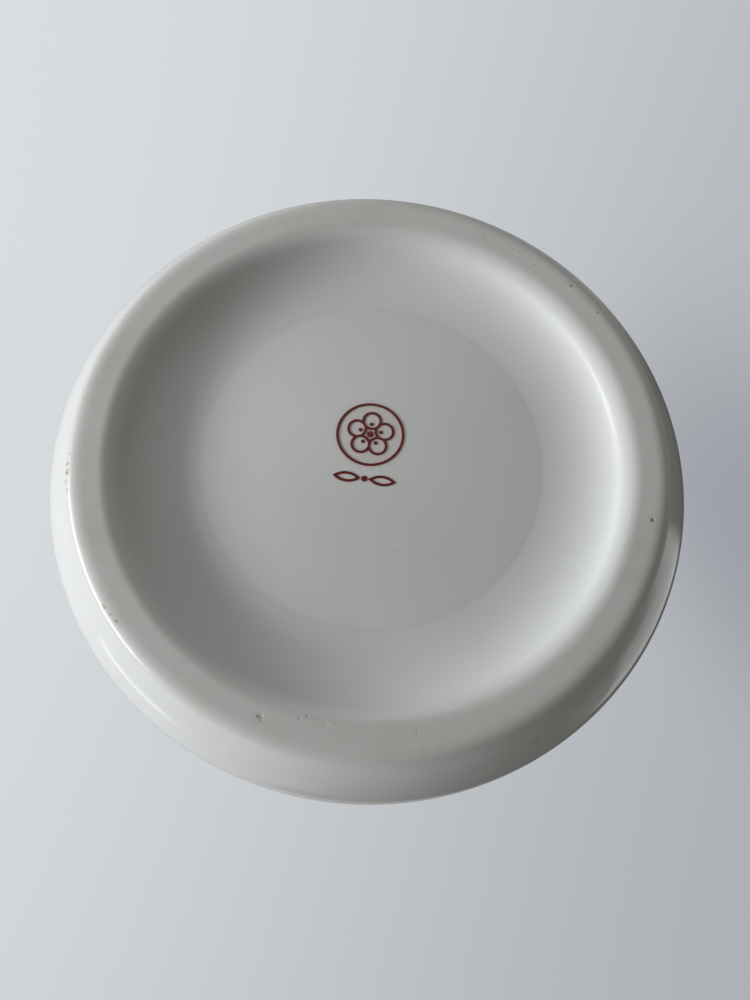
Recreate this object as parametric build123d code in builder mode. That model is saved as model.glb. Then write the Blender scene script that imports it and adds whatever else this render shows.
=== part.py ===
"""Porcelain vase with a recessed base: straight round body, rounded shoulder, short flared neck.

The vase is potted in sections that are luted together with slip and fired as one. Each section is
a solid of revolution about Z. The vase stands on its foot at z = 0, with Z through its middle.
"""
import os

from build123d import *

# Driving dimensions, in millimetres
band_inner_r = 46.2  # flat contact band on the crown of the foot
band_outer_r = 48.6
wall_r = 57.2  # outside of the body just above the foot
belly_r = 57.5  # outside of the body at mid height
edge_rise = 12.0  # height over which the foot's outer edge rounds up into the wall
bend_r = 51.6  # where the rounded crown turns into the sloping outer side
bend_z = 1.05
lip_inner_r = 42.7  # where the cove turns into the rounded crown
lip_inner_z = 1.5
wall_t = 4.0
recess_depth = 4.9  # depth of the recess at the edge of the base's sagged part
dome = 1.25  # how far the middle of the base sags towards the table
dome_r = 30.0  # sagged part of the recessed base, inside the cove
floor_t = 4.6
shoulder_z = 178.0  # where the straight body turns into the shoulder
neck_foot_r = 36.0
neck_foot_z = 206.5
lip_r = 36.5  # outside of the lip where its rolled edge starts
lip_z = 241.8
lip_t = 3.8

# Seams between the luted sections
plug_bottom_r = dome_r  # the base is a tapered plug
plug_top_r = dome_r + 3.0
foot_seam_z = 15.0
body_seam_z = 176.0
lap = 3.0  # height of the stepped lap in both wall seams

# Fired enamel mark on the recessed base, put on by hand a little off the middle
mark_x = 0.9
mark_y = 4.2
mark_r = 6.0
mark_line = 0.45
mark_t = 0.1
petal_count = 5
petal_r = 1.75
petal_offset = 2.55
stamen_offset = 1.9
leaf_length = 4.8
leaf_width = 1.9
leaf_x = 3.1
leaf_y = -8.4

reach = 300.0  # a size larger than the vase, for cutting planes
seam_overrun = 3.0  # how far a cutting line runs past both faces of the wall

floor_z = recess_depth + floor_t
base_middle_z = recess_depth - dome
dome_curve_r = (dome_r**2 + dome**2) / (2 * dome)
inner_r = wall_r - wall_t
lap_r = wall_r - wall_t / 2

# Slope of the wall at the neck's foot and at the lip, as unit vectors pointing up the profile
neck_foot_dir = Vector(-1.0, 0.35).normalized()
lip_dir = Vector(0.66, 0.75).normalized()
neck_foot = Vector(neck_foot_r, neck_foot_z)
lip_outside = Vector(lip_r, lip_z)


def dome_at(radius, clearance=0.0):
    """The point of the sagged underside at a radius, or of a face that stands clearance below it."""
    rise = dome_curve_r - (dome_curve_r**2 - radius**2) ** 0.5
    return (radius, base_middle_z - clearance + rise)


def inward(direction):
    """The direction across the wall, from its outside to its inside."""
    return Vector(-direction.Y, direction.X)


neck_foot_inside = neck_foot + inward(neck_foot_dir) * wall_t
neck_seam_top = neck_foot - inward(neck_foot_dir) * seam_overrun
neck_seam_bottom = neck_foot_inside + inward(neck_foot_dir) * seam_overrun
lip_inside = lip_outside + inward(lip_dir) * lip_t
lip_crown = (lip_outside + lip_inside) / 2 + lip_dir * (lip_t / 2)

# Section through the whole fired vase, on one side of its axis
with BuildSketch(Plane.XZ) as wall_section:
    with BuildLine():
        Line((0, floor_z), (0, base_middle_z))
        ThreePointArc((0, base_middle_z), dome_at(dome_r / 2), (dome_r, recess_depth))
        Bezier((dome_r, recess_depth), (38.0, 5.25), (41.0, 3.3), (lip_inner_r, lip_inner_z))
        Bezier((lip_inner_r, lip_inner_z), (43.62, 0.55), (44.88, 0), (band_inner_r, 0))
        Line((band_inner_r, 0), (band_outer_r, 0))
        Bezier((band_outer_r, 0), (50.2, 0), (51.0, 0.35), (bend_r, bend_z))
        Bezier((bend_r, bend_z), (53.23, 2.95), (wall_r, 7.0), (wall_r, edge_rise))
        ThreePointArc((wall_r, edge_rise), (belly_r, 95), (wall_r, shoulder_z))
        Bezier(
            (wall_r, shoulder_z),
            (wall_r, shoulder_z + 19),
            neck_foot - neck_foot_dir * 10.6,
            neck_foot,
        )
        Bezier(neck_foot, neck_foot + neck_foot_dir * 12.2, lip_outside - lip_dir * 18, lip_outside)
        ThreePointArc(lip_outside, lip_crown, lip_inside)
        Bezier(
            lip_inside,
            lip_inside - lip_dir * 19.8,
            neck_foot_inside + neck_foot_dir * 15.2,
            neck_foot_inside,
        )
        Bezier(
            neck_foot_inside,
            neck_foot_inside - neck_foot_dir * 9.8,
            (inner_r, shoulder_z + 16.5),
            (inner_r, shoulder_z),
        )
        ThreePointArc((inner_r, shoulder_z), (belly_r - wall_t, 100), (inner_r, 22))
        Bezier((inner_r, 22), (inner_r, 14.5), (48.5, floor_z), (40, floor_z))
        Line((40, floor_z), (0, floor_z))
    make_face()

# Base: a tapered disc that plugs the foot ring
with BuildPart() as base_floor:
    with BuildSketch(Plane.XZ):
        add(wall_section.sketch)
        with BuildLine():
            Polyline(
                (0, 0),
                (plug_bottom_r, 0),
                (plug_bottom_r, recess_depth),
                (plug_top_r, floor_z),
                (0, floor_z),
                close=True,
            )
        make_face(mode=Mode.INTERSECT)
    revolve(axis=Axis.Z)

# Foot ring: contact band, cove and rounded outer edge
with BuildPart() as foot_ring:
    with BuildSketch(Plane.XZ):
        add(wall_section.sketch)
        with BuildLine():
            Polyline(
                (plug_bottom_r, 0),
                (plug_bottom_r, recess_depth),
                (plug_top_r, floor_z),
                (plug_top_r, foot_seam_z + lap),
                (lap_r, foot_seam_z + lap),
                (lap_r, foot_seam_z),
                (reach, foot_seam_z),
                (reach, 0),
                close=True,
            )
        make_face(mode=Mode.INTERSECT)
    revolve(axis=Axis.Z)

# Body wall: lapped outside the foot ring and inside the shoulder
with BuildPart() as body_wall:
    with BuildSketch(Plane.XZ):
        add(wall_section.sketch)
        with BuildLine():
            Polyline(
                (0, foot_seam_z + lap),
                (lap_r, foot_seam_z + lap),
                (lap_r, foot_seam_z),
                (reach, foot_seam_z),
                (reach, body_seam_z),
                (lap_r, body_seam_z),
                (lap_r, body_seam_z + lap),
                (0, body_seam_z + lap),
                close=True,
            )
        make_face(mode=Mode.INTERSECT)
    revolve(axis=Axis.Z)

# Shoulder: closes the body in to the neck
with BuildPart() as shoulder:
    with BuildSketch(Plane.XZ):
        add(wall_section.sketch)
        with BuildLine():
            Polyline(
                (neck_seam_bottom.X, body_seam_z + lap),
                (lap_r, body_seam_z + lap),
                (lap_r, body_seam_z),
                (reach, body_seam_z),
                (reach, neck_seam_top.Y),
                neck_seam_top,
                neck_seam_bottom,
                close=True,
            )
        make_face(mode=Mode.INTERSECT)
    revolve(axis=Axis.Z)

# Neck with its flared, rolled lip
with BuildPart() as neck:
    with BuildSketch(Plane.XZ):
        add(wall_section.sketch)
        with BuildLine():
            Polyline(
                (0, neck_seam_bottom.Y),
                neck_seam_bottom,
                neck_seam_top,
                (reach, neck_seam_top.Y),
                (reach, reach),
                (0, reach),
                close=True,
            )
        make_face(mode=Mode.INTERSECT)
    revolve(axis=Axis.Z)

# One leaf of the mark: the lens where two circles overlap, drawn as an outline
leaf_arc_r = (leaf_length**2 / leaf_width + leaf_width) / 4
leaf_arc_y = leaf_arc_r - leaf_width / 2
with BuildSketch() as leaf:
    with Locations((0, leaf_arc_y)):
        Circle(leaf_arc_r)
    with Locations((0, -leaf_arc_y)):
        Circle(leaf_arc_r, mode=Mode.INTERSECT)
    offset(amount=-mark_line, mode=Mode.SUBTRACT)

# Enamel mark: a plain blossom in a ring over two leaves, raised on the sagged underside of the base
with BuildPart() as base_mark:
    with BuildSketch():
        with Locations((mark_x, mark_y)):
            Circle(mark_r)
            Circle(mark_r - mark_line, mode=Mode.SUBTRACT)
            with PolarLocations(petal_offset, petal_count, start_angle=90):
                Circle(petal_r)
            with PolarLocations(petal_offset, petal_count, start_angle=90):
                Circle(petal_r - mark_line, mode=Mode.SUBTRACT)
            with PolarLocations(stamen_offset, petal_count, start_angle=90):
                Circle(mark_line * 0.75)
            Circle(mark_line * 1.3)
            with Locations((-leaf_x, leaf_y), (leaf_x, leaf_y)):
                add(leaf.sketch)
            with Locations((0, leaf_y)):
                Circle(mark_line * 1.2)
    extrude(amount=floor_z)
    with BuildSketch(Plane.XZ):
        with BuildLine():
            ThreePointArc(dome_at(0), dome_at(dome_r / 2), dome_at(dome_r))
            Line(dome_at(dome_r), dome_at(dome_r, mark_t))
            ThreePointArc(dome_at(dome_r, mark_t), dome_at(dome_r / 2, mark_t), dome_at(0, mark_t))
            Line(dome_at(0, mark_t), dome_at(0))
        make_face()
    revolve(axis=Axis.Z, mode=Mode.INTERSECT)

os.makedirs("parts", exist_ok=True)
foot_ring.part.label = "foot_ring"
export_step(foot_ring.part, "parts/foot_ring.step")
base_floor.part.label = "base_floor"
export_step(base_floor.part, "parts/base_floor.step")
body_wall.part.label = "body_wall"
export_step(body_wall.part, "parts/body_wall.step")
shoulder.part.label = "shoulder"
export_step(shoulder.part, "parts/shoulder.step")
neck.part.label = "neck"
export_step(neck.part, "parts/neck.step")
base_mark.part.label = "base_mark"
export_step(base_mark.part, "parts/base_mark.step")
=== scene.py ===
"""Looks of a white porcelain vase, seen from below its foot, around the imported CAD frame.

Each potted section is turned again here as a fine mesh on the CAD section's own outline, and takes
a glaze built from nodes. Outlines, what firing does to them and the marks on the foot are in
millimetres, with points of an outline as (radius, height). Everything else is in metres.
"""
import math

import bmesh
import bpy
from mathutils import Matrix, Vector, noise


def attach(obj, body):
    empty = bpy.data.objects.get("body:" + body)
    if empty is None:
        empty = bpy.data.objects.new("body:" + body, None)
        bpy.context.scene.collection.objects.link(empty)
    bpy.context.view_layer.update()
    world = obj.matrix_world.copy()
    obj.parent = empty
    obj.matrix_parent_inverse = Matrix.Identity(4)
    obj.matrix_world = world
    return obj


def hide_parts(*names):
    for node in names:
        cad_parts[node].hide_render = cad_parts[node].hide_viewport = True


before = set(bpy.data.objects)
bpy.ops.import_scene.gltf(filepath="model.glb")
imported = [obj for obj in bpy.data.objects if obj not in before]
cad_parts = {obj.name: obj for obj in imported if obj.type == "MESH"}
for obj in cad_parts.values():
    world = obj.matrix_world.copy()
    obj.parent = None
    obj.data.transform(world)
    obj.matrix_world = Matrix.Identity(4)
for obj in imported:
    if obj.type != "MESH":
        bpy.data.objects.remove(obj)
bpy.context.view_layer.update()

scene = bpy.context.scene
mm = 0.001

# ---------------------------------------------------------------- outline of the vase, in millimetres

band_inner_r = 46.2  # flat contact band on the crown of the foot
band_outer_r = 48.6
bend = (51.6, 1.05)  # where the rounded crown turns into the sloping outer side
lip_inner = (42.7, 1.5)  # where the cove turns into the rounded crown
wall_r = 57.2  # outside of the body just above the foot
belly_r = 57.5  # outside of the body at mid height
edge_rise = 12.0  # height over which the foot's outer edge rounds up into the wall
wall_t = 4.0
inner_r = wall_r - wall_t
recess_depth = 4.9  # depth of the recess at the edge of the base's sagged part
dome = 1.25  # how far the middle of the base sags
dome_r = 30.0  # sagged part of the base, inside the cove
floor_t = 4.6
floor_z = recess_depth + floor_t
floor_flat_r = 40.0  # flat inside of the base, up to its rounded corner
inner_low_z = 22.0  # where that corner has turned into the inside of the wall
shoulder_z = 178.0  # where the straight body turns into the shoulder
neck_foot = Vector((36.0, 206.5))
neck_foot_dir = Vector((-1.0, 0.35)).normalized()
lip_outside = Vector((36.5, 241.8))
lip_dir = Vector((0.66, 0.75)).normalized()
lip_t = 3.8

# The wall bulges evenly between the foot's rounded edge and the shoulder
bulge = belly_r - wall_r
bulge_reach = (shoulder_z - edge_rise) / 2
outside_middle_z = (edge_rise + shoulder_z) / 2
inside_middle_z = (inner_low_z + shoulder_z) / 2

# Seams between the luted sections
plug_top_r = dome_r + 3.0
foot_seam_z = 15.0
body_seam_z = 176.0
lap = 3.0  # height of the stepped lap in both wall seams
lap_r = wall_r - wall_t / 2


def inward(direction):
    """The direction across the wall, from its outside to its inside."""
    return Vector((-direction.y, direction.x))


neck_foot_inside = neck_foot + inward(neck_foot_dir) * wall_t
lip_inside = lip_outside + inward(lip_dir) * lip_t


def bezier(p0, p1, p2, p3, steps):
    """Points along a cubic Bezier curve, both ends included."""
    made = []
    for i in range(steps + 1):
        t = i / steps
        s = 1 - t
        weights = (s**3, 3 * s * s * t, 3 * s * t * t, t**3)
        made.append(
            tuple(sum(w * p[k] for w, p in zip(weights, (p0, p1, p2, p3))) for k in (0, 1))
        )
    return made


def line(p0, p1, steps):
    """Points along a straight line, both ends included."""
    return [tuple(p0[k] + (p1[k] - p0[k]) * i / steps for k in (0, 1)) for i in range(steps + 1)]


def wall(low, high, middle, widest, steps):
    """The body wall between two heights: a very slight barrel, widest at its middle."""
    made = []
    for i in range(steps + 1):
        z = low + (high - low) * i / steps
        made.append((widest - bulge * ((z - middle) / bulge_reach) ** 2, z))
    return made


def outer_wall(low, high, steps):
    """The outside of the wall."""
    return wall(low, high, outside_middle_z, belly_r, steps)


def inner_wall(low, high, steps):
    """The inside of the wall."""
    return wall(low, high, inside_middle_z, belly_r - wall_t, steps)


def joined(*runs):
    """One outline from runs of points, where a run may start at the point that ended the last one."""
    same = 1e-4
    points = []
    for run in runs:
        for p in run:
            if not points or (Vector(p) - Vector(points[-1])).length > same:
                points.append(p)
    return points


def foot_outline():
    """The foot ring: cove, contact band, rounded edge and the wall up to its seam."""
    cove = bezier((dome_r, recess_depth), (38.0, 5.25), (41.0, 3.3), lip_inner, 40)
    cove_lip = bezier(lip_inner, (43.62, 0.55), (44.88, 0), (band_inner_r, 0), 24)
    band = line((band_inner_r, 0), (band_outer_r, 0), 6)
    crown = bezier((band_outer_r, 0), (50.2, 0), (51.0, 0.35), bend, 16)
    edge = bezier(bend, (53.23, 2.95), (wall_r, 7.0), (wall_r, edge_rise), 44)
    rise = outer_wall(edge_rise, foot_seam_z, 6)
    seam = [(lap_r, foot_seam_z), (lap_r, foot_seam_z + lap), (inner_r, foot_seam_z + lap)]
    corner = bezier(seam[-1], (inner_r, 13.5), (47.2, floor_z), (floor_flat_r, floor_z), 16)
    inside = line((floor_flat_r, floor_z), (plug_top_r, floor_z), 4)
    return joined(cove, cove_lip, band, crown, edge, rise, seam, corner, inside)


def floor_outline():
    """The base plug, whose underside sags a little towards its middle."""
    curve_r = (dome_r**2 + dome**2) / (2 * dome)
    steps = 48
    under = []
    for i in range(steps + 1):
        r = dome_r * i / steps
        under.append((r, recess_depth - dome + curve_r - math.sqrt(curve_r**2 - r**2)))
    return joined(under, line((plug_top_r, floor_z), (0, floor_z), 12))


def body_outline():
    """The body wall, with a stepped lap at both ends."""
    outside = outer_wall(foot_seam_z, body_seam_z, 90)
    top = [(lap_r, body_seam_z), (lap_r, body_seam_z + lap)]
    inside = inner_wall(body_seam_z + lap, foot_seam_z + lap, 60)
    bottom = [(lap_r, foot_seam_z + lap), (lap_r, foot_seam_z)]
    return joined(outside, top, inside, bottom)


def shoulder_outline():
    """The shoulder, from its lap on the body up to the neck's foot."""
    start = outer_wall(body_seam_z, shoulder_z, 2)
    outside = bezier(
        (wall_r, shoulder_z), (wall_r, shoulder_z + 19), neck_foot - neck_foot_dir * 10.6, neck_foot, 60
    )
    inside = bezier(
        neck_foot_inside,
        neck_foot_inside - neck_foot_dir * 9.8,
        (inner_r, shoulder_z + 16.5),
        (inner_r, shoulder_z),
        36,
    )
    seam = [(inner_r, body_seam_z + lap), (lap_r, body_seam_z + lap), (lap_r, body_seam_z)]
    inside = [p for p in inside if p[1] > body_seam_z + lap]
    return joined(start, outside, inside, seam)


def neck_outline():
    """The neck with its flared lip, whose edge is rolled to a half round."""
    outside = bezier(
        neck_foot, neck_foot + neck_foot_dir * 12.2, lip_outside - lip_dir * 18, lip_outside, 60
    )
    centre = (lip_outside + lip_inside) / 2
    steps = 16
    rim = []
    for i in range(steps + 1):
        turn = math.pi * i / steps
        offset = -inward(lip_dir) * math.cos(turn) + lip_dir * math.sin(turn)
        rim.append(tuple(centre + offset * lip_t / 2))
    inside = bezier(
        lip_inside,
        lip_inside - lip_dir * 19.8,
        neck_foot_inside + neck_foot_dir * 15.2,
        neck_foot_inside,
        44,
    )
    return joined(outside, rim, inside)


# ---------------------------------------------------------------- fine meshes of the sections

# What throwing and firing do to the wall, in millimetres
oval = 0.09
three_sided = 0.04
ring_depth = 0.010
ring_spacing = 1.7
shrink = 0.13  # keeps the uneven wall inside the CAD's own
true_z = 4.0  # the wall is still true at this height
warped_over = 60.0  # and is fully warped this much higher
middle_r = 5.0  # nothing moves sideways this close to the axis

# Softly uneven face of the recess, in millimetres
uneven = 0.030
uneven_size = 17.0
uneven_r = 44.0
uneven_fade = 8.0
uneven_top_z = recess_depth + 0.2  # just above the cove's highest point


def fired(r, angle, z):
    """Where a point of the outline ends up on a fired pot: a little out of round, with faint
    turning rings on the wall and a softly uneven recess. The contact band stays flat."""
    warped = min(max((z - true_z) / warped_over, 0.0), 1.0) if r > middle_r else 0.0
    out_of_round = oval * math.cos(2 * angle + 0.7) + three_sided * math.cos(3 * angle + 2.1)
    rings = ring_depth * math.sin(z / ring_spacing + 2.0 * noise.noise(Vector((angle, z / 40, 0))))
    radius = r + warped * (out_of_round + rings - shrink)
    rise = 0.0
    if r < uneven_r and z < uneven_top_z:
        spot = Vector((r * math.cos(angle), r * math.sin(angle), 0)) / uneven_size
        rise = uneven * noise.noise(spot) * min(1.0, (uneven_r - r) / uneven_fade)
    return Vector((radius * math.cos(angle), radius * math.sin(angle), z + rise)) * mm


def lathe(name, outline, segments):
    """A closed solid turned about Z from an outline, which is closed from its last point to its first.
    It is smooth except at its real corners."""
    sharp_from = math.radians(30)
    tool = bmesh.new()
    rings = []
    for r, z in outline:
        count = segments if r > 1e-6 else 1
        turns = [2 * math.pi * k / segments for k in range(count)]
        rings.append([tool.verts.new(fired(r, turn, z)) for turn in turns])
    for low, high in zip(rings, rings[1:] + rings[:1]):
        for k in range(segments):
            quad = [
                low[k % len(low)],
                low[(k + 1) % segments % len(low)],
                high[(k + 1) % segments % len(high)],
                high[k % len(high)],
            ]
            corners = list(dict.fromkeys(quad))
            if len(corners) > 2:
                tool.faces.new(corners)
    bmesh.ops.recalc_face_normals(tool, faces=tool.faces)
    for face in tool.faces:
        face.smooth = True
    for edge in tool.edges:
        edge.smooth = edge.calc_face_angle(0.0) < sharp_from
    mesh = bpy.data.meshes.new(name)
    tool.to_mesh(mesh)
    tool.free()
    piece = bpy.data.objects.new(name, mesh)
    scene.collection.objects.link(piece)
    return piece


# ---------------------------------------------------------------- node helpers


class Shader:
    """A new material's node tree, with short ways to add the nodes that the glazes share."""

    def __init__(self, name):
        self.material = bpy.data.materials.new(name)
        self.material.use_nodes = True
        self.tree = self.material.node_tree
        self.surface = self.tree.nodes["Principled BSDF"]
        coords = self.tree.nodes.new("ShaderNodeTexCoord")
        self.place = coords.outputs["Object"]
        split = self.tree.nodes.new("ShaderNodeSeparateXYZ")
        self.link(self.place, split.inputs[0])
        self.height = split.outputs["Z"]
        flat = self.tree.nodes.new("ShaderNodeVectorMath")
        flat.operation = "MULTIPLY"
        self.link(self.place, flat.inputs[0])
        flat.inputs[1].default_value = (1, 1, 0)
        length = self.tree.nodes.new("ShaderNodeVectorMath")
        length.operation = "LENGTH"
        self.link(flat.outputs[0], length.inputs[0])
        self.radius = length.outputs["Value"]

    def link(self, source, target):
        """Links a node's output to another node's input."""
        self.tree.links.new(source, target)

    def feed(self, socket, value):
        """Sets a socket to a number or colour, or links it to another node's output."""
        if isinstance(value, bpy.types.NodeSocket):
            self.link(value, socket)
        else:
            socket.default_value = value

    def math(self, operation, first, second=0.0, third=0.0):
        """The result of a calculation with numbers or other nodes' outputs."""
        made = self.tree.nodes.new("ShaderNodeMath")
        made.operation = operation
        for socket, value in zip(made.inputs, (first, second, third)):
            self.feed(socket, value)
        return made.outputs[0]

    def noise(self, scale, detail=3.0, roughness=0.55, shift=(0, 0, 0)):
        """Noise with about `scale` lumps to the metre, from 0 to 1."""
        moved = self.tree.nodes.new("ShaderNodeMapping")
        self.link(self.place, moved.inputs["Vector"])
        moved.inputs["Location"].default_value = shift
        made = self.tree.nodes.new("ShaderNodeTexNoise")
        self.link(moved.outputs[0], made.inputs["Vector"])
        made.inputs["Scale"].default_value = scale
        made.inputs["Detail"].default_value = detail
        made.inputs["Roughness"].default_value = roughness
        return made.outputs["Fac"]

    def step(self, value, start, end):
        """0 at start, 1 at end, smooth between; start may be above end."""
        made = self.tree.nodes.new("ShaderNodeMapRange")
        made.interpolation_type = "SMOOTHSTEP"
        self.feed(made.inputs["Value"], value)
        if start <= end:
            made.inputs["From Min"].default_value = start
            made.inputs["From Max"].default_value = end
            return made.outputs[0]
        made.inputs["From Min"].default_value = end
        made.inputs["From Max"].default_value = start
        made.inputs["To Min"].default_value = 1.0
        made.inputs["To Max"].default_value = 0.0
        return made.outputs[0]

    def mix(self, factor, first, second):
        """The first colour where the factor is 0, the second where it is 1."""
        made = self.tree.nodes.new("ShaderNodeMix")
        made.data_type = "RGBA"
        self.feed(made.inputs["Factor"], factor)
        for socket, value in zip((made.inputs[6], made.inputs[7]), (first, second)):
            self.feed(socket, value if isinstance(value, bpy.types.NodeSocket) else (*value, 1.0))
        return made.outputs[2]

    def blend(self, factor, first, second):
        """The same as mix, for plain numbers."""
        made = self.tree.nodes.new("ShaderNodeMix")
        made.data_type = "FLOAT"
        for index, value in ((0, factor), (2, first), (3, second)):
            self.feed(made.inputs[index], value)
        return made.outputs[0]

    def dots(self, density, size, share, shift=(0, 0, 0)):
        """Scattered round dots: `density` cells to the metre, dots of a radius `size` in metres, in
        about `share` of the cells."""
        moved = self.tree.nodes.new("ShaderNodeMapping")
        self.link(self.place, moved.inputs["Vector"])
        moved.inputs["Location"].default_value = shift
        cells = self.tree.nodes.new("ShaderNodeTexVoronoi")
        self.link(moved.outputs[0], cells.inputs["Vector"])
        cells.inputs["Scale"].default_value = density
        near = self.step(cells.outputs["Distance"], size * density, size * density * 0.35)
        pick = self.tree.nodes.new("ShaderNodeSeparateColor")
        self.link(cells.outputs["Color"], pick.inputs[0])
        chosen = self.math("LESS_THAN", pick.outputs[0], share)
        return self.math("MULTIPLY", near, chosen)

    def spot(self, centre, size, softness=0.5, ragged=0.0, stretch=(1, 1, 1)):
        """1 within `size` of a point on the object, falling to 0 outside it. `ragged` breaks up its
        outline, and `stretch` above 1 narrows it along an axis."""
        offset = self.tree.nodes.new("ShaderNodeVectorMath")
        offset.operation = "SUBTRACT"
        self.link(self.place, offset.inputs[0])
        offset.inputs[1].default_value = centre
        scaled = self.tree.nodes.new("ShaderNodeVectorMath")
        scaled.operation = "MULTIPLY"
        self.link(offset.outputs[0], scaled.inputs[0])
        scaled.inputs[1].default_value = stretch
        gap = self.tree.nodes.new("ShaderNodeVectorMath")
        gap.operation = "LENGTH"
        self.link(scaled.outputs[0], gap.inputs[0])
        reach = gap.outputs["Value"]
        if ragged:
            lumps = self.noise(0.55 / size, 3, 0.6, (centre[0] * 900, centre[1] * 900, 0))
            swing = self.math("MULTIPLY_ADD", lumps, 2 * ragged * size, -ragged * size)
            reach = self.math("ADD", reach, swing)
        return self.step(reach, size, size * (1 - softness))

    def relief(self, height, distance, under=None):
        """A surface raised by up to `distance` metres where height is 1, on top of another relief."""
        made = self.tree.nodes.new("ShaderNodeBump")
        made.inputs["Strength"].default_value = 1.0
        made.inputs["Distance"].default_value = distance
        self.link(height, made.inputs["Height"])
        if under is not None:
            self.link(under, made.inputs["Normal"])
        return made.outputs[0]


# ---------------------------------------------------------------- materials

white_glaze = (0.790, 0.797, 0.786)
warm_glaze = (0.755, 0.757, 0.735)
iron_speck = (0.16, 0.10, 0.06)
biscuit = (0.695, 0.688, 0.652)
handled_biscuit = (0.61, 0.597, 0.552)
# Grey-brown of the dirt in the pits, also painted into the darker ragged patches
grey_brown = (0.30, 0.27, 0.22)
pale_dust = (0.86, 0.86, 0.84)
pale_scuff = (0.84, 0.84, 0.82)
rust = (0.36, 0.12, 0.06)
iron_red = (0.125, 0.010, 0.006)
thin_iron_red = (0.22, 0.027, 0.017)
worn_iron_red = (0.55, 0.28, 0.22)
enamel_trace = (0.66, 0.42, 0.37)

glaze_ior = 1.52
rubbed_r = 0.0465  # the recess is rubbed dull inside this radius
mark_centre = (0.0009, 0.0042, 0.0037)
halo_r = 0.0072  # how far the trace of enamel reaches around the mark


def on_foot(angle, radius, z=0.0):
    """A point near the foot, from its angle in degrees and radius in millimetres."""
    turn = math.radians(angle)
    return (radius * mm * math.cos(turn), radius * mm * math.sin(turn), z * mm)


# Marks of making and wear on the foot, with angles in degrees and lengths in millimetres.
# Pits: angle, radius, size and strength
single_pits = (
    (187.3, 48.5, 0.50, 0.80),
    (55.0, 52.9, 0.40, 0.60),
    (57.0, 52.0, 0.30, 0.60),
    (108.2, 48.7, 0.26, 0.35),
    (115.6, 48.2, 0.23, 0.50),
    (117.2, 48.5, 0.25, 0.50),
    (121.8, 47.9, 0.23, 0.50),
    (130.9, 49.3, 0.42, 0.75),
    (139.1, 49.5, 0.36, 0.60),
    (248.4, 46.3, 0.22, 0.40),
    (250.0, 51.3, 0.26, 0.50),
    (254.7, 46.7, 0.24, 0.65),
    (270.2, 45.8, 0.22, 0.50),
    (272.3, 46.1, 0.18, 0.35),
    (275.8, 45.3, 0.26, 0.60),
    (277.2, 45.9, 0.24, 0.55),
)
# Pale scuffs: angle, radius and size
scuffs = (
    (119.6, 47.2, 0.50),
    (137.6, 48.5, 0.45),
    (142.5, 48.1, 0.60),
    (169.2, 46.7, 0.55),
    (174.4, 47.6, 0.45),
    (255.2, 48.8, 0.70),
    (271.3, 45.9, 0.60),
    (283.9, 47.1, 0.50),
)
# Darker ragged patches, pressed in a little: angle, radius, height, size and how many times narrower
# along each axis
dark_patches = (
    (284.1, 47.8, 0.0, 1.3, (1.8, 1.0, 1.0)),
    (234.0, 54.8, 3.6, 1.7, (1.0, 1.5, 1.0)),
)
# Faint rust-red smears: angle, radius, height and size
red_smears = (
    (344.4, 51.2, 0.7, 0.9),
    (346.0, 51.3, 0.8, 1.0),
    (347.6, 51.2, 0.7, 0.9),
    (349.4, 51.2, 0.7, 0.9),
    (351.2, 51.1, 0.6, 0.8),
    (316.6, 50.3, 0.3, 0.8),
    (318.4, 50.5, 0.3, 0.9),
    (320.0, 50.6, 0.4, 0.8),
)


def glaze_base(name):
    """The clear glaze over white porcelain that every section shares. Returns the shader and its
    colour, roughness and surface relief, for the section to add to."""
    shader = Shader(name)
    surface = shader.surface
    surface.inputs["IOR"].default_value = glaze_ior
    surface.inputs["Subsurface Weight"].default_value = 0.12
    surface.inputs["Subsurface Radius"].default_value = (1.0, 0.85, 0.7)
    surface.inputs["Subsurface Scale"].default_value = 0.0015
    cloud = shader.noise(28, 3, 0.5)
    colour = shader.mix(shader.step(cloud, 0.3, 0.72), white_glaze, warm_glaze)
    specks = shader.dots(95, 0.00022, 0.10)
    colour = shader.mix(shader.math("MULTIPLY", specks, 0.75), colour, iron_speck)
    sheen = shader.noise(60, 4, 0.6, (3, 1, 2))
    roughness = shader.blend(sheen, 0.045, 0.11)
    peel = shader.relief(shader.noise(260, 2, 0.4, (5, 0, 0)), 0.000016)
    slump = shader.relief(shader.noise(45, 2, 0.4, (0, 7, 0)), 0.00006, peel)
    pinholes = shader.dots(140, 0.00016, 0.08, (1, 2, 3))
    normal = shader.relief(shader.math("SUBTRACT", 1.0, pinholes), 0.00005, slump)
    return shader, colour, roughness, normal


def finish_material(shader, colour, roughness, normal):
    """Links the finished layers to the surface and returns the material."""
    shader.link(colour, shader.surface.inputs["Base Color"])
    shader.link(roughness, shader.surface.inputs["Roughness"])
    shader.link(normal, shader.surface.inputs["Normal"])
    return shader.material


def body_material():
    """The glaze of everything above the foot."""
    return finish_material(*glaze_base("vase_glaze"))


def satin(shader, roughness):
    """The recess was rubbed dull by handling, and keeps only a soft sheen."""
    inside = shader.step(shader.radius, rubbed_r, rubbed_r - 0.0015)
    low = shader.step(shader.height, 0.0100, 0.0080)
    dull = shader.math("MULTIPLY", inside, low)
    patches = shader.blend(shader.noise(150, 4, 0.6, (1, 8, 3)), 0.20, 0.30)
    return shader.blend(dull, roughness, patches)


def base_material():
    """The recessed base: the same glaze, rubbed dull, with a pink trace of enamel around the mark."""
    shader, colour, roughness, normal = glaze_base("base_glaze")
    halo = shader.spot(mark_centre, halo_r, 0.25)
    colour = shader.mix(shader.math("MULTIPLY", halo, 0.24), colour, enamel_trace)
    return finish_material(shader, colour, satin(shader, roughness), normal)


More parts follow.
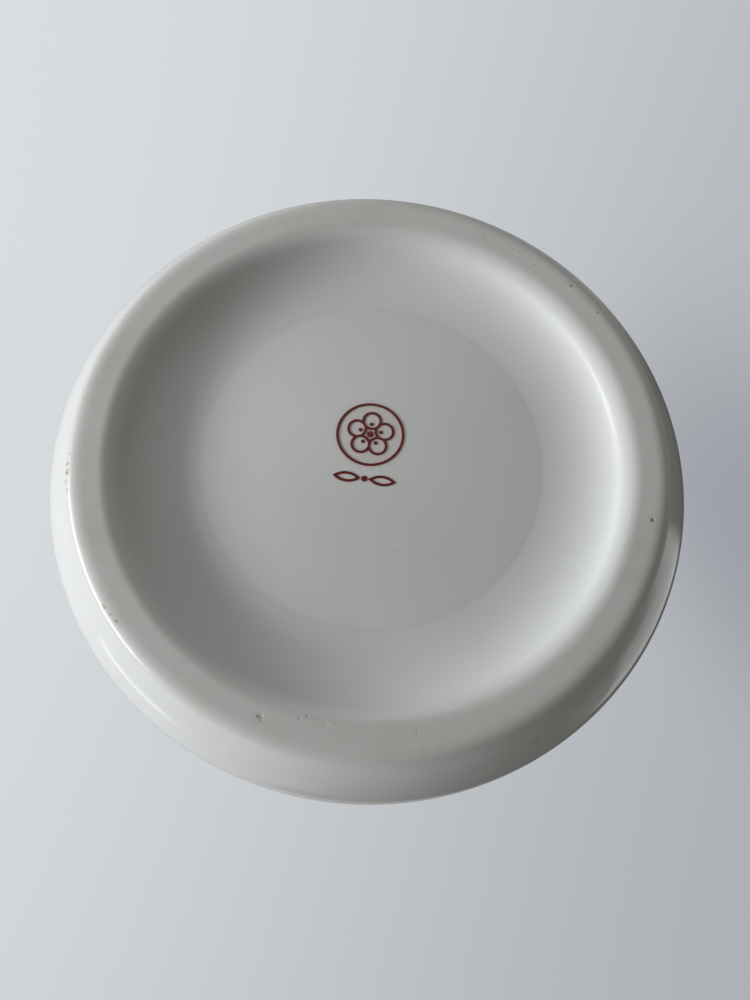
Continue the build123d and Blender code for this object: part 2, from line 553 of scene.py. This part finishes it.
def bare_band(shader):
    """1 on the bare contact band, whose edges wander a little, and 0 on the glaze on both sides."""
    wander = shader.math("MULTIPLY_ADD", shader.noise(90, 3, 0.6, (2, 2, 9)), 0.0010, -0.0005)
    edge = shader.math("ADD", shader.radius, wander)
    inside = shader.step(edge, 0.0440, 0.0456)
    outside = shader.step(edge, 0.0520, 0.0502)
    low = shader.step(shader.height, 0.0014, 0.0008)
    return shader.math("MULTIPLY", shader.math("MULTIPLY", inside, outside), low)


def torn_patch(shader, spot, scale, detail, shift, start, end):
    """A spot broken up into rags by fine noise."""
    rags = shader.step(shader.noise(scale, detail, 0.7, shift), start, end)
    return shader.math("MULTIPLY", spot, rags)


def add_pits(shader, colour, pits):
    """The single pits that stand out, each with grime in it."""
    for angle, radius, size, strength in single_pits:
        mark = shader.math("MULTIPLY", shader.spot(on_foot(angle, radius), size * mm, 0.7, 0.6), strength)
        pits = shader.math("MAXIMUM", pits, mark)
        colour = shader.mix(mark, colour, grey_brown)
    return colour, pits


def add_scuffs(shader, colour):
    """Pale scuffs, where the band was rubbed white."""
    for angle, radius, size in scuffs:
        patch = shader.spot(on_foot(angle, radius), size * mm, 0.8, 0.4)
        rubbed = torn_patch(shader, patch, 1500, 3, (angle, 3, 0), 0.44, 0.60)
        colour = shader.mix(rubbed, colour, pale_scuff)
    return colour


def add_dark_patches(shader, colour, pits):
    """Larger ragged patches, painted a darker grey-brown and pressed in a little."""
    for angle, radius, height, size, stretch in dark_patches:
        patch = shader.spot(on_foot(angle, radius, height), size * mm, 0.8, 0.3, stretch)
        darkened = torn_patch(shader, patch, 1100, 3, (angle, 0, 0), 0.46, 0.58)
        # Each ragged patch is painted a darker grey-brown over the glaze
        colour = shader.mix(shader.math("MULTIPLY", darkened, 0.55), colour, grey_brown)
        pits = shader.math("MAXIMUM", pits, darkened)
    return colour, pits


def add_smears(shader, colour):
    """Rust-red smears on the rounded outer side."""
    for angle, radius, height, size in red_smears:
        patch = shader.spot(on_foot(angle, radius, height), size * mm, 0.9, 0.3)
        smear = torn_patch(shader, patch, 900, 4, (0, angle, 0), 0.46, 0.60)
        colour = shader.mix(shader.math("MULTIPLY", smear, 0.75), colour, rust)
    return colour


def foot_material():
    """The foot: glazed cove and edge, with a smooth bare contact band that has pits and grime."""
    shader, colour, roughness, normal = glaze_base("foot_glaze")
    roughness = satin(shader, roughness)

    bare = bare_band(shader)
    handling = shader.noise(40, 4, 0.65, (8, 1, 0))
    bare_colour = shader.mix(shader.step(handling, 0.45, 0.75), biscuit, handled_biscuit)
    colour = shader.mix(shader.math("MULTIPLY", bare, 0.85), colour, bare_colour)
    roughness = shader.blend(bare, roughness, shader.blend(handling, 0.34, 0.50))
    grain = shader.math("MULTIPLY", shader.noise(2600, 2, 0.5, (4, 4, 4)), bare)
    normal = shader.relief(grain, 0.000012, normal)

    pits = shader.math("MULTIPLY", shader.dots(420, 0.00014, 0.07, (6, 5, 1)), bare)
    dust = shader.math("MULTIPLY", shader.dots(360, 0.00014, 0.08, (2, 9, 4)), bare)
    colour = shader.mix(shader.math("MULTIPLY", pits, 0.5), colour, grey_brown)
    colour = shader.mix(shader.math("MULTIPLY", dust, 0.7), colour, pale_dust)

    colour, pits = add_pits(shader, colour, pits)
    colour = add_scuffs(shader, colour)
    colour, pits = add_dark_patches(shader, colour, pits)
    colour = add_smears(shader, colour)
    normal = shader.relief(shader.math("SUBTRACT", 1.0, pits), 0.00010, normal)
    return finish_material(shader, colour, roughness, normal)


def enamel_material():
    """Iron-red enamel: thin, fired on, a little worn and uneven in strength."""
    shader = Shader("iron_red_enamel")
    thin = shader.step(shader.noise(1400, 4, 0.7), 0.35, 0.80)
    colour = shader.mix(thin, iron_red, thin_iron_red)
    worn = shader.dots(1500, 0.00010, 0.08, (1, 1, 1))
    colour = shader.mix(shader.math("MULTIPLY", worn, 0.6), colour, worn_iron_red)
    roughness = shader.blend(shader.noise(900, 3), 0.16, 0.34)
    normal = shader.relief(shader.noise(2200, 2, 0.5), 0.000008)
    shader.surface.inputs["IOR"].default_value = glaze_ior
    return finish_material(shader, colour, roughness, normal)


# ---------------------------------------------------------------- the vase


def add_section(name, node, outline, segments, material):
    """Turns one potted section, in place of its CAD node."""
    piece = lathe(name, outline, segments)
    piece.data.materials.append(material)
    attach(piece, "root")
    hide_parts(node)


body_glaze = body_material()
add_section("turned_foot", "foot_ring", foot_outline(), 384, foot_material())
add_section("turned_base", "base_floor", floor_outline(), 256, base_material())
add_section("turned_body", "body_wall", body_outline(), 256, body_glaze)
add_section("turned_shoulder", "shoulder", shoulder_outline(), 256, body_glaze)
add_section("turned_neck", "neck", neck_outline(), 256, body_glaze)

enamel = enamel_material()
for material_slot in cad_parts["base_mark"].material_slots:
    material_slot.material = enamel


# ---------------------------------------------------------------- camera

sensor_long_side = 36.0
focal_length = 0.85 * sensor_long_side
eye = Vector((-1.43, -54.8, -133.95)) * mm
tilt = math.radians(18.86)
roll = math.radians(7.47)


def add_camera():
    """Below the foot and looking up into the recess, leaning away from the axis and slightly rolled."""
    forward = Vector((0, math.sin(tilt), math.cos(tilt)))
    level_up = Vector((0, math.cos(tilt), -math.sin(tilt)))
    level_right = forward.cross(level_up)
    right = level_right * math.cos(roll) + level_up * math.sin(roll)
    up = level_up * math.cos(roll) - level_right * math.sin(roll)
    data = bpy.data.cameras.new("camera")
    data.sensor_width = sensor_long_side
    data.lens = focal_length
    data.clip_start = 0.01
    data.clip_end = 30.0
    camera = bpy.data.objects.new("camera", data)
    camera.matrix_world = Matrix.Translation(eye) @ Matrix((right, up, -forward)).transposed().to_4x4()
    scene.collection.objects.link(camera)
    scene.camera = camera


# ---------------------------------------------------------------- floor and cards


def stage_card(name, corners, material):
    """A flat stage surface; its front is the side from which its corners run anticlockwise."""
    mesh = bpy.data.meshes.new(name)
    mesh.from_pydata(corners, [], [tuple(range(len(corners)))])
    card = bpy.data.objects.new(name, mesh)
    card.data.materials.append(material)
    scene.collection.objects.link(card)
    return card


def floor_material():
    """A pale matt surface, clear from its back, so what is below it sees past it. It glows weakly far
    from the vase, where it has to run into the pale surroundings."""
    pale = (0.66, 0.66, 0.655)
    glow = (0.98, 0.99, 1.0, 1.0)
    shader = Shader("floor_pale")
    surface = shader.surface
    tone = shader.mix(shader.noise(3, 2), pale, tuple(c * 0.97 for c in pale))
    shader.link(tone, surface.inputs["Base Color"])
    surface.inputs["Roughness"].default_value = 0.9
    surface.inputs["Specular IOR Level"].default_value = 0.1
    surface.inputs["Emission Color"].default_value = glow
    far = shader.step(shader.radius, 0.3, 2.2)
    shader.link(shader.math("MULTIPLY", far, 0.46), surface.inputs["Emission Strength"])
    geometry = shader.tree.nodes.new("ShaderNodeNewGeometry")
    clear = shader.tree.nodes.new("ShaderNodeBsdfTransparent")
    either = shader.tree.nodes.new("ShaderNodeMixShader")
    shader.link(geometry.outputs["Backfacing"], either.inputs[0])
    shader.link(surface.outputs[0], either.inputs[1])
    shader.link(clear.outputs[0], either.inputs[2])
    shader.link(either.outputs[0], shader.tree.nodes["Material Output"].inputs["Surface"])
    return shader.material


def add_floor():
    """The pale floor that the vase stands on. It is clear from below, where the camera is, and keeps
    no light from the foot."""
    reach = 12.0
    sides = 96
    z = -0.0002  # just below the contact band
    turns = [2 * math.pi * k / sides for k in range(sides)]
    corners = [(reach * math.cos(turn), reach * math.sin(turn), z) for turn in turns]
    floor = stage_card("floor", corners, floor_material())
    floor.visible_shadow = False
    floor.visible_diffuse = False
    floor.visible_glossy = False


def add_overhead_card():
    """A small dark card just behind the camera: it takes light from the recess, as whoever looks at
    a maker's mark does."""
    left, right, near, far, z = 0.045, -0.110, -0.140, 0.050, -0.150
    corners = [(right, near, z), (left, near, z), (left, far, z), (right, far, z)]
    shader = Shader("card_dark")
    shader.surface.inputs["Base Color"].default_value = (0.03, 0.03, 0.03, 1.0)
    shader.surface.inputs["Roughness"].default_value = 0.8
    card = stage_card("overhead_card", corners, shader.material)
    card.visible_camera = False


def add_net():
    """A net across the upper part of the window's light. It keeps the tall wall from burning out in a
    light that is set for the foot, and shades nothing below 15 mm. Returns a collection that leaves it
    out, for lights that it shouldn't shade."""
    out, side = Vector((0.966, -0.259, 0)), Vector((0.259, 0.966, 0))
    middle = out * 0.30
    half = side * 0.2
    low, high = Vector((0, 0, -0.03)), Vector((0, 0, 0.14))
    corners = [middle - half + low, middle + half + low, middle + half + high, middle - half + high]
    lets_pass = 0.42
    shader = Shader("net")
    clear = shader.tree.nodes.new("ShaderNodeBsdfTransparent")
    clear.inputs["Color"].default_value = (lets_pass, lets_pass, lets_pass, 1.0)
    shader.link(clear.outputs[0], shader.tree.nodes["Material Output"].inputs["Surface"])
    net = stage_card("net", corners, shader.material)
    net.visible_camera = False
    net.visible_diffuse = False
    net.visible_glossy = False
    unshaded = bpy.data.collections.new("net_left_out")
    unshaded.objects.link(net)
    unshaded.collection_objects[0].light_linking.link_state = "EXCLUDE"
    return unshaded


# ---------------------------------------------------------------- surroundings and lights


def toward(azimuth, dip):
    """The direction at an azimuth from +X and a dip below the level, both in degrees."""
    turn, drop = math.radians(azimuth), math.radians(dip)
    return Vector((math.cos(turn) * math.cos(drop), math.sin(turn) * math.cos(drop), -math.sin(drop)))


# What the glaze mirrors: tones of the room above the floor and below it, where the foot is seen from
above_tone = (0.50, 0.51, 0.53)
above_tone_away = (0.30, 0.305, 0.31)
below_tone = (0.365, 0.372, 0.366)
below_shade = (0.115, 0.115, 0.096)

# Darker and brighter furnishings: azimuth, dip, width and height in degrees, colour, strength and,
# where it isn't the usual one, softness of the edge
furnishings = (
    (112, -30, 50, 50, (0.20, 0.20, 0.19), 0.8),
    (330, 38, 36, 26, (1.25, 1.27, 1.32), 0.8),
    (8, 16, 62, 16, (1.55, 1.60, 1.66), 1.0),
    (150, -38, 34, 46, (0.030, 0.030, 0.028), 1.0),
    (204, -11, 50, 14, (0.060, 0.060, 0.035), 1.0),
    (243, -36, 56, 44, (0.060, 0.058, 0.053), 0.95, 0.12),
    (195, -58, 90, 20, (0.020, 0.020, 0.020), 1.0),
    (180, -33, 28, 26, (0.95, 0.96, 0.98), 1.0, 0.2),
    (322, -23, 22, 4, (2.2, 2.2, 2.2), 1.0, 0.2),
)

# What the camera sees past the vase: overhead, then level with it
behind_tone = (0.700, 0.722, 0.748)
behind_tone_away = (0.405, 0.421, 0.445)
behind_shade = (143, -58, 22, 12, (0.28, 0.30, 0.34), 0.66, 0.9)
level_tone = (0.74, 0.75, 0.76)


class Sky:
    """The studio's surroundings, coloured by direction alone. Each tone is laid over the last."""

    def __init__(self):
        self.world = bpy.data.worlds.new("studio")
        self.world.use_nodes = True
        self.tree = self.world.node_tree
        coords = self.tree.nodes.new("ShaderNodeTexCoord")
        self.direction = coords.outputs["Generated"]
        self.colour = None

    def along(self, axis):
        """How far the looked-at direction leans along an axis, from -1 to 1."""
        made = self.tree.nodes.new("ShaderNodeVectorMath")
        made.operation = "DOT_PRODUCT"
        self.tree.links.new(self.direction, made.inputs[0])
        made.inputs[1].default_value = axis
        return made.outputs["Value"]

    def ramp(self, value, start, end):
        """0 at start, 1 at end, smooth between; start may be above end."""
        made = self.tree.nodes.new("ShaderNodeMapRange")
        made.interpolation_type = "SMOOTHSTEP"
        self.tree.links.new(value, made.inputs["Value"])
        made.inputs["From Min"].default_value = min(start, end)
        made.inputs["From Max"].default_value = max(start, end)
        made.inputs["To Min"].default_value = 0.0 if start <= end else 1.0
        made.inputs["To Max"].default_value = 1.0 if start <= end else 0.0
        return made.outputs[0]

    def lay(self, factor, colour, strength=1.0):
        """Covers what is there with a colour, as far as the factor says."""
        made = self.tree.nodes.new("ShaderNodeMix")
        made.data_type = "RGBA"
        scaled = self.tree.nodes.new("ShaderNodeMath")
        scaled.operation = "MULTIPLY"
        self.tree.links.new(factor, scaled.inputs[0])
        scaled.inputs[1].default_value = strength
        self.tree.links.new(scaled.outputs[0], made.inputs["Factor"])
        for index, value in ((6, self.colour), (7, colour)):
            if isinstance(value, bpy.types.NodeSocket):
                self.tree.links.new(value, made.inputs[index])
            else:
                made.inputs[index].default_value = (*value, 1.0)
        self.colour = made.outputs[2]

    def product(self, first, second):
        """Two factors multiplied."""
        made = self.tree.nodes.new("ShaderNodeMath")
        made.operation = "MULTIPLY"
        self.tree.links.new(first, made.inputs[0])
        self.tree.links.new(second, made.inputs[1])
        return made.outputs[0]

    def panel(self, azimuth, dip, wide, high, colour, strength=1.0, soft=0.35):
        """A soft-edged rectangle centred on a direction; `wide` and `high` are in degrees."""
        middle = toward(azimuth, dip)
        side = Vector((-math.sin(math.radians(azimuth)), math.cos(math.radians(azimuth)), 0))
        rise = middle.cross(side)
        mask = self.ramp(self.along(middle), 0.0, 0.1)
        for axis, size in ((side, wide), (rise, high)):
            reach = math.sin(math.radians(min(size / 2, 85)))
            lean = self.along(axis)
            mask = self.product(mask, self.ramp(lean, reach * (1 + soft), reach * (1 - soft)))
            mask = self.product(mask, self.ramp(lean, -reach * (1 + soft), -reach * (1 - soft)))
        self.lay(mask, colour, strength)

    def plain_behind(self):
        """What the camera sees past the vase and the floor: plain and pale. Overhead it gets dimmer
        away from the window, with a soft shade beside the vase."""
        mirrored = self.colour
        self.colour = behind_tone
        self.lay(self.ramp(self.along((0.98, 0.18, 0)), 0.60, -0.60), behind_tone_away)
        self.panel(*behind_shade)
        self.lay(self.ramp(self.along((0, 0, 1)), 0.56, 0.47), level_tone)
        seen = self.colour
        self.colour = mirrored
        path = self.tree.nodes.new("ShaderNodeLightPath")
        self.lay(path.outputs["Is Camera Ray"], seen)

    def use(self):
        """Makes this the scene's world."""
        self.tree.links.new(self.colour, self.tree.nodes["Background"].inputs["Color"])
        scene.world = self.world


def add_world():
    """A pale room: bright on the window's side, dimmer away from it, with its furnishings."""
    sky = Sky()
    sky.colour = above_tone
    sky.lay(sky.ramp(sky.along((0.87, 0.5, 0)), 0.5, -0.8), above_tone_away)
    below = sky.ramp(sky.along((0, 0, -1)), -0.06, 0.06)
    sky.lay(below, below_tone)
    sky.lay(sky.product(sky.ramp(sky.along((0.68, 0.73, 0)), 0.45, -0.35), below), below_shade)
    for furnishing in furnishings:
        sky.panel(*furnishing)
    sky.plain_behind()
    sky.use()


def add_light(name, place, target, width, height, power, colour):
    """A rectangular area light at a place, aimed at a target."""
    data = bpy.data.lights.new(name, "AREA")
    data.shape = "RECTANGLE"
    data.size = width
    data.size_y = height
    data.energy = power
    data.color = colour
    light = bpy.data.objects.new(name, data)
    light.location = place
    aim = Vector(target) - Vector(place)
    light.rotation_mode = "QUATERNION"
    light.rotation_quaternion = aim.to_track_quat("-Z", "Y")
    scene.collection.objects.link(light)
    return light


def add_lights(unshaded):
    """The window, low and beside the foot, and two soft boxes above the vase, which light its other
    sides. The soft boxes aren't mirrored, and what `unshaded` leaves out casts no shadow in them."""
    add_light("window", (0.905, -0.240, -0.25), (0, 0, 0.03), 0.75, 0.20, 7.7, (0.975, 0.995, 1.03))
    for name, place, size, power in (
        ("softbox", (0.25, -0.25, 1.6), 1.2, 9.0),
        ("fill", (-0.63, -0.42, 1.60), 0.8, 10.0),
    ):
        box = add_light(name, place, (0, 0, 0.12), size, size, power, (1.0, 1.0, 1.0))
        box.visible_glossy = False
        box.light_linking.blocker_collection = unshaded


add_camera()
add_floor()
add_overhead_card()
add_world()
add_lights(add_net())
scene.view_settings.view_transform = "Standard"
